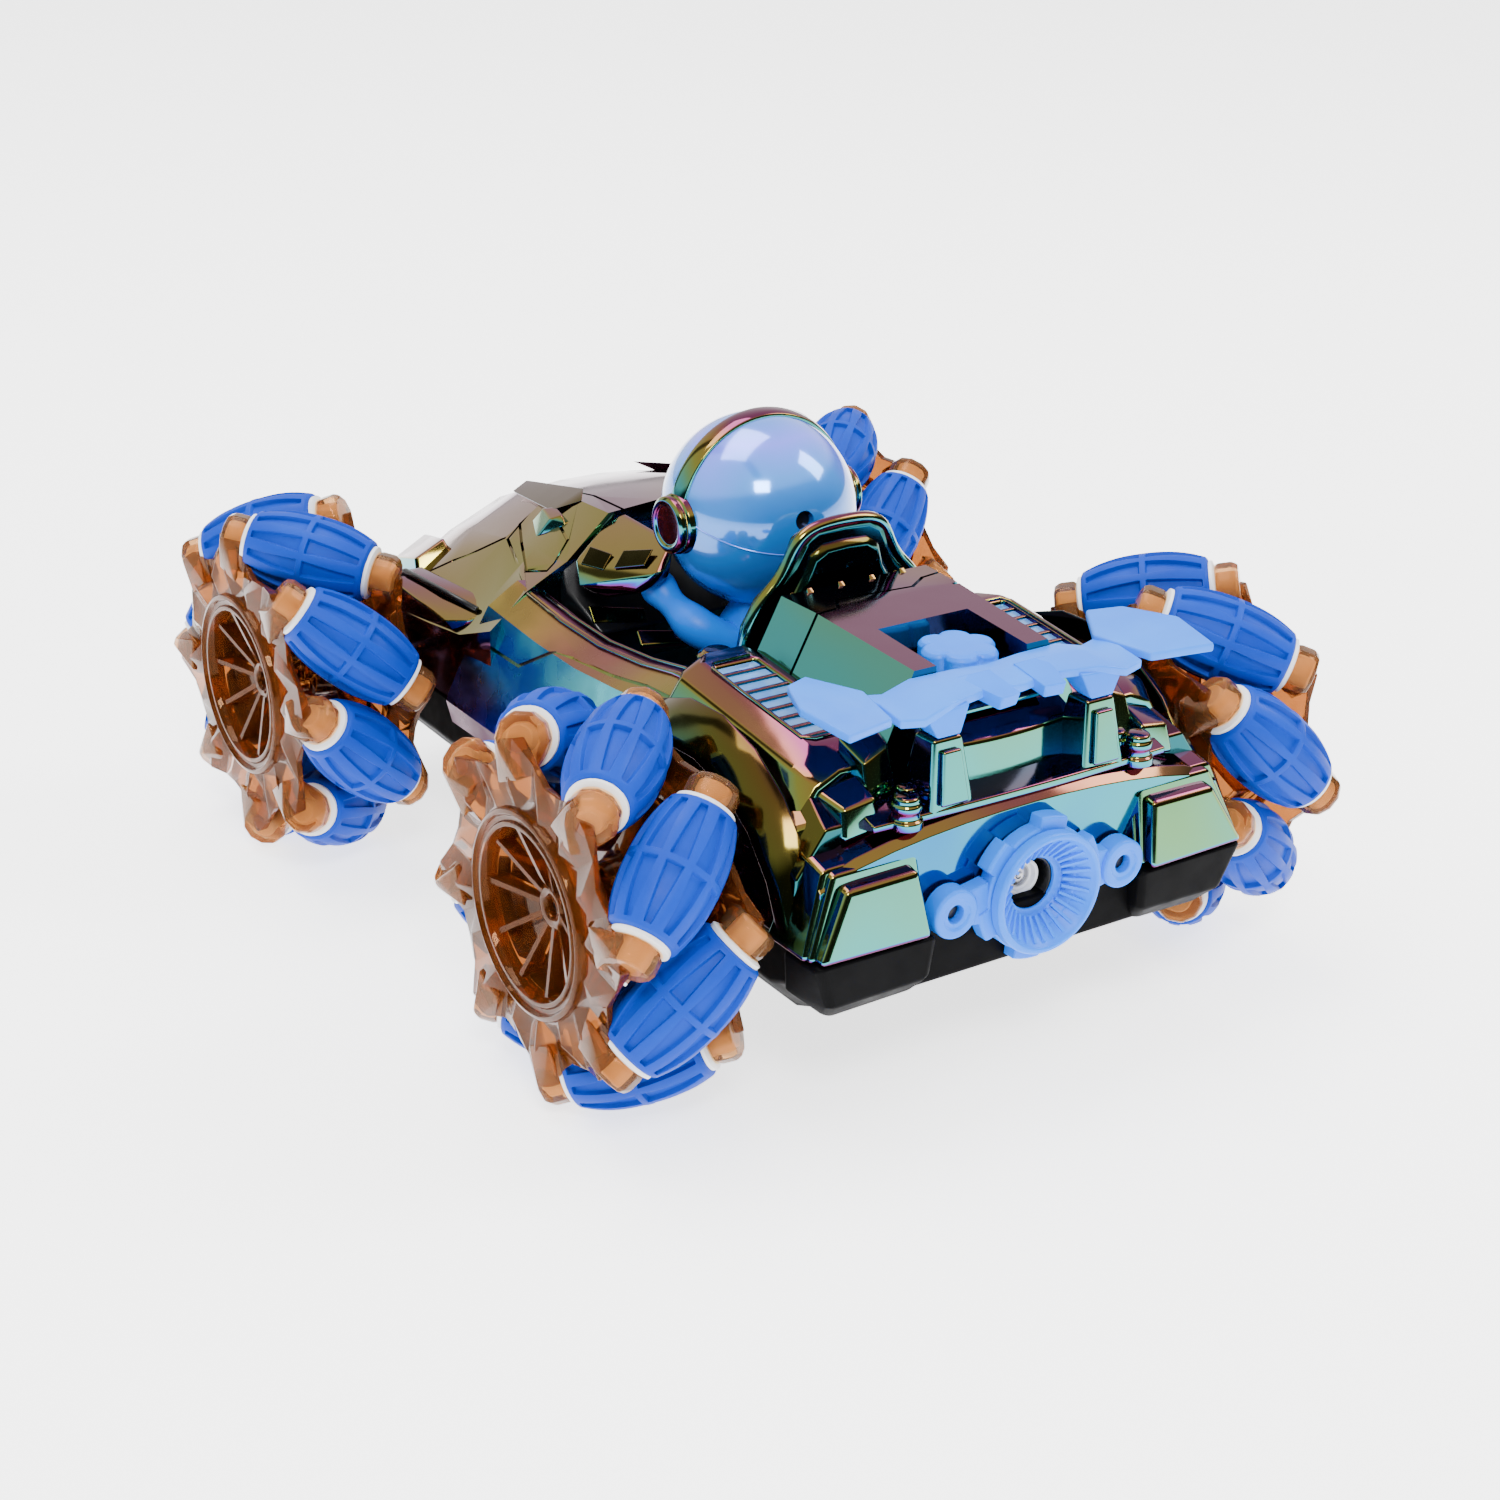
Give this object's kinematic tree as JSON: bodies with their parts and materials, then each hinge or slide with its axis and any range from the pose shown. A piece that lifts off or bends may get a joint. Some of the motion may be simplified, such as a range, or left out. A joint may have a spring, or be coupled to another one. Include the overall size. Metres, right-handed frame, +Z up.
{
  "type": "mecanum wheel robot",
  "caption": "Low radio-controlled car robot with barrel-roller mecanum wheels, plated body shell, seated helmeted driver, tail wing and rear water mist nozzle.",
  "frame": {"origin": "bottom centre of the robot's bounding box, on the ground it stands on", "axes": "+X to the robot's right, +Y forward along the robot, +Z up"},
  "size_m": [0.2246, 0.275, 0.1387],
  "materials": {
    "roller_blue": "satin grooved soft plastic",
    "amber_plastic": "glossy translucent moulded plastic",
    "black_plastic": "satin moulded plastic",
    "plated_shell": "mirror-like colour-shifting vacuum plating",
    "sky_blue_plastic": "glossy moulded plastic",
    "white_plastic": "satin moulded plastic",
    "board_green": "coated circuit board",
    "motor_grey": "satin moulded plastic",
    "battery_wrap": "shrink-wrapped cells",
    "helmet_plating": "mirror-like colour-shifting vacuum plating"
  },
  "bodies": {
    "chassis": {"chassis_base": "black_plastic", "battery_door": "black_plastic", "battery_pack": "battery_wrap", "circuit_board": "board_green", "body_shell": "plated_shell", "rear_deck": "plated_shell", "cockpit_tub": "black_plastic", "water_tank": "white_plastic", "nozzle_surround": "sky_blue_plastic", "mist_nozzle": "white_plastic", "tail_wing": "sky_blue_plastic", "driver_helmet": "sky_blue_plastic", "headset": "helmet_plating", "driver_torso": "sky_blue_plastic", "gearmotor_fl": "motor_grey", "gearmotor_fr": "motor_grey", "gearmotor_rl": "motor_grey", "gearmotor_rr": "motor_grey"},
    "wheel_fl": {"wheel_outer_flange_fl": "amber_plastic", "wheel_inner_flange_fl": "amber_plastic"},
    "roller_fl_1": {"roller_fl_1": "roller_blue"},
    "roller_fl_2": {"roller_fl_2": "roller_blue"},
    "roller_fl_3": {"roller_fl_3": "roller_blue"},
    "roller_fl_4": {"roller_fl_4": "roller_blue"},
    "roller_fl_5": {"roller_fl_5": "roller_blue"},
    "roller_fl_6": {"roller_fl_6": "roller_blue"},
    "roller_fl_7": {"roller_fl_7": "roller_blue"},
    "roller_fl_8": {"roller_fl_8": "roller_blue"},
    "wheel_fr": {"wheel_outer_flange_fr": "amber_plastic", "wheel_inner_flange_fr": "amber_plastic"},
    "roller_fr_1": {"roller_fr_1": "roller_blue"},
    "roller_fr_2": {"roller_fr_2": "roller_blue"},
    "roller_fr_3": {"roller_fr_3": "roller_blue"},
    "roller_fr_4": {"roller_fr_4": "roller_blue"},
    "roller_fr_5": {"roller_fr_5": "roller_blue"},
    "roller_fr_6": {"roller_fr_6": "roller_blue"},
    "roller_fr_7": {"roller_fr_7": "roller_blue"},
    "roller_fr_8": {"roller_fr_8": "roller_blue"},
    "wheel_rl": {"wheel_outer_flange_rl": "amber_plastic", "wheel_inner_flange_rl": "amber_plastic"},
    "roller_rl_1": {"roller_rl_1": "roller_blue"},
    "roller_rl_2": {"roller_rl_2": "roller_blue"},
    "roller_rl_3": {"roller_rl_3": "roller_blue"},
    "roller_rl_4": {"roller_rl_4": "roller_blue"},
    "roller_rl_5": {"roller_rl_5": "roller_blue"},
    "roller_rl_6": {"roller_rl_6": "roller_blue"},
    "roller_rl_7": {"roller_rl_7": "roller_blue"},
    "roller_rl_8": {"roller_rl_8": "roller_blue"},
    "wheel_rr": {"wheel_outer_flange_rr": "amber_plastic", "wheel_inner_flange_rr": "amber_plastic"},
    "roller_rr_1": {"roller_rr_1": "roller_blue"},
    "roller_rr_2": {"roller_rr_2": "roller_blue"},
    "roller_rr_3": {"roller_rr_3": "roller_blue"},
    "roller_rr_4": {"roller_rr_4": "roller_blue"},
    "roller_rr_5": {"roller_rr_5": "roller_blue"},
    "roller_rr_6": {"roller_rr_6": "roller_blue"},
    "roller_rr_7": {"roller_rr_7": "roller_blue"},
    "roller_rr_8": {"roller_rr_8": "roller_blue"},
    "filler_cap": {"filler_cap": "sky_blue_plastic"},
    "power_switch": {"power_switch": "white_plastic"}
  },
  "joints": [
    {"name": "wheel_fl_spin", "type": "hinge", "parent": "chassis", "child": "wheel_fl", "pos_m": [-0.08935, 0.08717, 0.05021], "axis": [-1, 0, 0], "continuous": true},
    {"name": "wheel_fr_spin", "type": "hinge", "parent": "chassis", "child": "wheel_fr", "pos_m": [0.08935, 0.08717, 0.05021], "axis": [-1, 0, 0], "continuous": true},
    {"name": "wheel_rl_spin", "type": "hinge", "parent": "chassis", "child": "wheel_rl", "pos_m": [-0.08935, -0.07773, 0.05021], "axis": [-1, 0, 0], "continuous": true},
    {"name": "wheel_rr_spin", "type": "hinge", "parent": "chassis", "child": "wheel_rr", "pos_m": [0.08935, -0.07773, 0.05021], "axis": [-1, 0, 0], "continuous": true},
    {"name": "filler_cap_lift", "type": "slide", "parent": "chassis", "child": "filler_cap", "axis": [0, 0, 1], "range_m": [0, 0.03]},
    {"name": "power_switch_slide", "type": "slide", "parent": "chassis", "child": "power_switch", "axis": [1, 0, 0], "range_m": [0, 0.0028]},
    {"name": "roller_fl_1_spin", "type": "hinge", "parent": "wheel_fl", "child": "roller_fl_1", "pos_m": [-0.08935, 0.12148, 0.03104], "axis": [-0.7071, -0.345, -0.6172], "continuous": true},
    {"name": "roller_fl_2_spin", "type": "hinge", "parent": "wheel_fl", "child": "roller_fl_2", "pos_m": [-0.08935, 0.12499, 0.06091], "axis": [-0.7071, 0.1925, -0.6804], "continuous": true},
    {"name": "roller_fl_3_spin", "type": "hinge", "parent": "wheel_fl", "child": "roller_fl_3", "pos_m": [-0.08935, 0.10634, 0.08452], "axis": [-0.7071, 0.6172, -0.345], "continuous": true},
    {"name": "roller_fl_4_spin", "type": "hinge", "parent": "wheel_fl", "child": "roller_fl_4", "pos_m": [-0.08935, 0.07647, 0.08803], "axis": [-0.7071, 0.6804, 0.1925], "continuous": true},
    {"name": "roller_fl_5_spin", "type": "hinge", "parent": "wheel_fl", "child": "roller_fl_5", "pos_m": [-0.08935, 0.05287, 0.06938], "axis": [-0.7071, 0.345, 0.6172], "continuous": true},
    {"name": "roller_fl_6_spin", "type": "hinge", "parent": "wheel_fl", "child": "roller_fl_6", "pos_m": [-0.08935, 0.04936, 0.03951], "axis": [-0.7071, -0.1925, 0.6804], "continuous": true},
    {"name": "roller_fl_7_spin", "type": "hinge", "parent": "wheel_fl", "child": "roller_fl_7", "pos_m": [-0.08935, 0.068, 0.0159], "axis": [-0.7071, -0.6172, 0.345], "continuous": true},
    {"name": "roller_fl_8_spin", "type": "hinge", "parent": "wheel_fl", "child": "roller_fl_8", "pos_m": [-0.08935, 0.09787, 0.01239], "axis": [-0.7071, -0.6804, -0.1925], "continuous": true},
    {"name": "roller_fr_1_spin", "type": "hinge", "parent": "wheel_fr", "child": "roller_fr_1", "pos_m": [0.08935, 0.12072, 0.02973], "axis": [0.7071, -0.3684, -0.6036], "continuous": true},
    {"name": "roller_fr_2_spin", "type": "hinge", "parent": "wheel_fr", "child": "roller_fr_2", "pos_m": [0.08935, 0.12537, 0.05945], "axis": [0.7071, 0.1663, -0.6873], "continuous": true},
    {"name": "roller_fr_3_spin", "type": "hinge", "parent": "wheel_fr", "child": "roller_fr_3", "pos_m": [0.08935, 0.10765, 0.08375], "axis": [0.7071, 0.6036, -0.3684], "continuous": true},
    {"name": "roller_fr_4_spin", "type": "hinge", "parent": "wheel_fr", "child": "roller_fr_4", "pos_m": [0.08935, 0.07793, 0.08841], "axis": [0.7071, 0.6873, 0.1663], "continuous": true},
    {"name": "roller_fr_5_spin", "type": "hinge", "parent": "wheel_fr", "child": "roller_fr_5", "pos_m": [0.08935, 0.05363, 0.07069], "axis": [0.7071, 0.3684, 0.6036], "continuous": true},
    {"name": "roller_fr_6_spin", "type": "hinge", "parent": "wheel_fr", "child": "roller_fr_6", "pos_m": [0.08935, 0.04897, 0.04097], "axis": [0.7071, -0.1663, 0.6873], "continuous": true},
    {"name": "roller_fr_7_spin", "type": "hinge", "parent": "wheel_fr", "child": "roller_fr_7", "pos_m": [0.08935, 0.0667, 0.01666], "axis": [0.7071, -0.6036, 0.3684], "continuous": true},
    {"name": "roller_fr_8_spin", "type": "hinge", "parent": "wheel_fr", "child": "roller_fr_8", "pos_m": [0.08935, 0.09641, 0.01201], "axis": [0.7071, -0.6873, -0.1663], "continuous": true},
    {"name": "roller_rl_1_spin", "type": "hinge", "parent": "wheel_rl", "child": "roller_rl_1", "pos_m": [-0.08935, -0.04373, 0.0305], "axis": [-0.7071, 0.3546, 0.6118], "continuous": true},
    {"name": "roller_rl_2_spin", "type": "hinge", "parent": "wheel_rl", "child": "roller_rl_2", "pos_m": [-0.08935, -0.03975, 0.06032], "axis": [-0.7071, -0.1818, 0.6833], "continuous": true},
    {"name": "roller_rl_3_spin", "type": "hinge", "parent": "wheel_rl", "child": "roller_rl_3", "pos_m": [-0.08935, -0.05802, 0.08421], "axis": [-0.7071, -0.6118, 0.3546], "continuous": true},
    {"name": "roller_rl_4_spin", "type": "hinge", "parent": "wheel_rl", "child": "roller_rl_4", "pos_m": [-0.08935, -0.08783, 0.08819], "axis": [-0.7071, -0.6833, -0.1818], "continuous": true},
    {"name": "roller_rl_5_spin", "type": "hinge", "parent": "wheel_rl", "child": "roller_rl_5", "pos_m": [-0.08935, -0.11173, 0.06992], "axis": [-0.7071, -0.3546, -0.6118], "continuous": true},
    {"name": "roller_rl_6_spin", "type": "hinge", "parent": "wheel_rl", "child": "roller_rl_6", "pos_m": [-0.08935, -0.11571, 0.04011], "axis": [-0.7071, 0.1818, -0.6833], "continuous": true},
    {"name": "roller_rl_7_spin", "type": "hinge", "parent": "wheel_rl", "child": "roller_rl_7", "pos_m": [-0.08935, -0.09744, 0.01621], "axis": [-0.7071, 0.6118, -0.3546], "continuous": true},
    {"name": "roller_rl_8_spin", "type": "hinge", "parent": "wheel_rl", "child": "roller_rl_8", "pos_m": [-0.08935, -0.06762, 0.01223], "axis": [-0.7071, 0.6833, 0.1818], "continuous": true},
    {"name": "roller_rr_1_spin", "type": "hinge", "parent": "wheel_rr", "child": "roller_rr_1", "pos_m": [0.08935, -0.04021, 0.03852], "axis": [0.7071, 0.2103, 0.6751], "continuous": true},
    {"name": "roller_rr_2_spin", "type": "hinge", "parent": "wheel_rr", "child": "roller_rr_2", "pos_m": [0.08935, -0.04293, 0.06848], "axis": [0.7071, -0.3287, 0.6261], "continuous": true},
    {"name": "roller_rr_3_spin", "type": "hinge", "parent": "wheel_rr", "child": "roller_rr_3", "pos_m": [0.08935, -0.06604, 0.08773], "axis": [0.7071, -0.6751, 0.2103], "continuous": true},
    {"name": "roller_rr_4_spin", "type": "hinge", "parent": "wheel_rr", "child": "roller_rr_4", "pos_m": [0.08935, -0.096, 0.08501], "axis": [0.7071, -0.6261, -0.3287], "continuous": true},
    {"name": "roller_rr_5_spin", "type": "hinge", "parent": "wheel_rr", "child": "roller_rr_5", "pos_m": [0.08935, -0.11525, 0.0619], "axis": [0.7071, -0.2103, -0.6751], "continuous": true},
    {"name": "roller_rr_6_spin", "type": "hinge", "parent": "wheel_rr", "child": "roller_rr_6", "pos_m": [0.08935, -0.11253, 0.03194], "axis": [0.7071, 0.3287, -0.6261], "continuous": true},
    {"name": "roller_rr_7_spin", "type": "hinge", "parent": "wheel_rr", "child": "roller_rr_7", "pos_m": [0.08935, -0.08942, 0.01269], "axis": [0.7071, 0.6751, -0.2103], "continuous": true},
    {"name": "roller_rr_8_spin", "type": "hinge", "parent": "wheel_rr", "child": "roller_rr_8", "pos_m": [0.08935, -0.05946, 0.01541], "axis": [0.7071, 0.6261, 0.3287], "continuous": true}
  ]
}
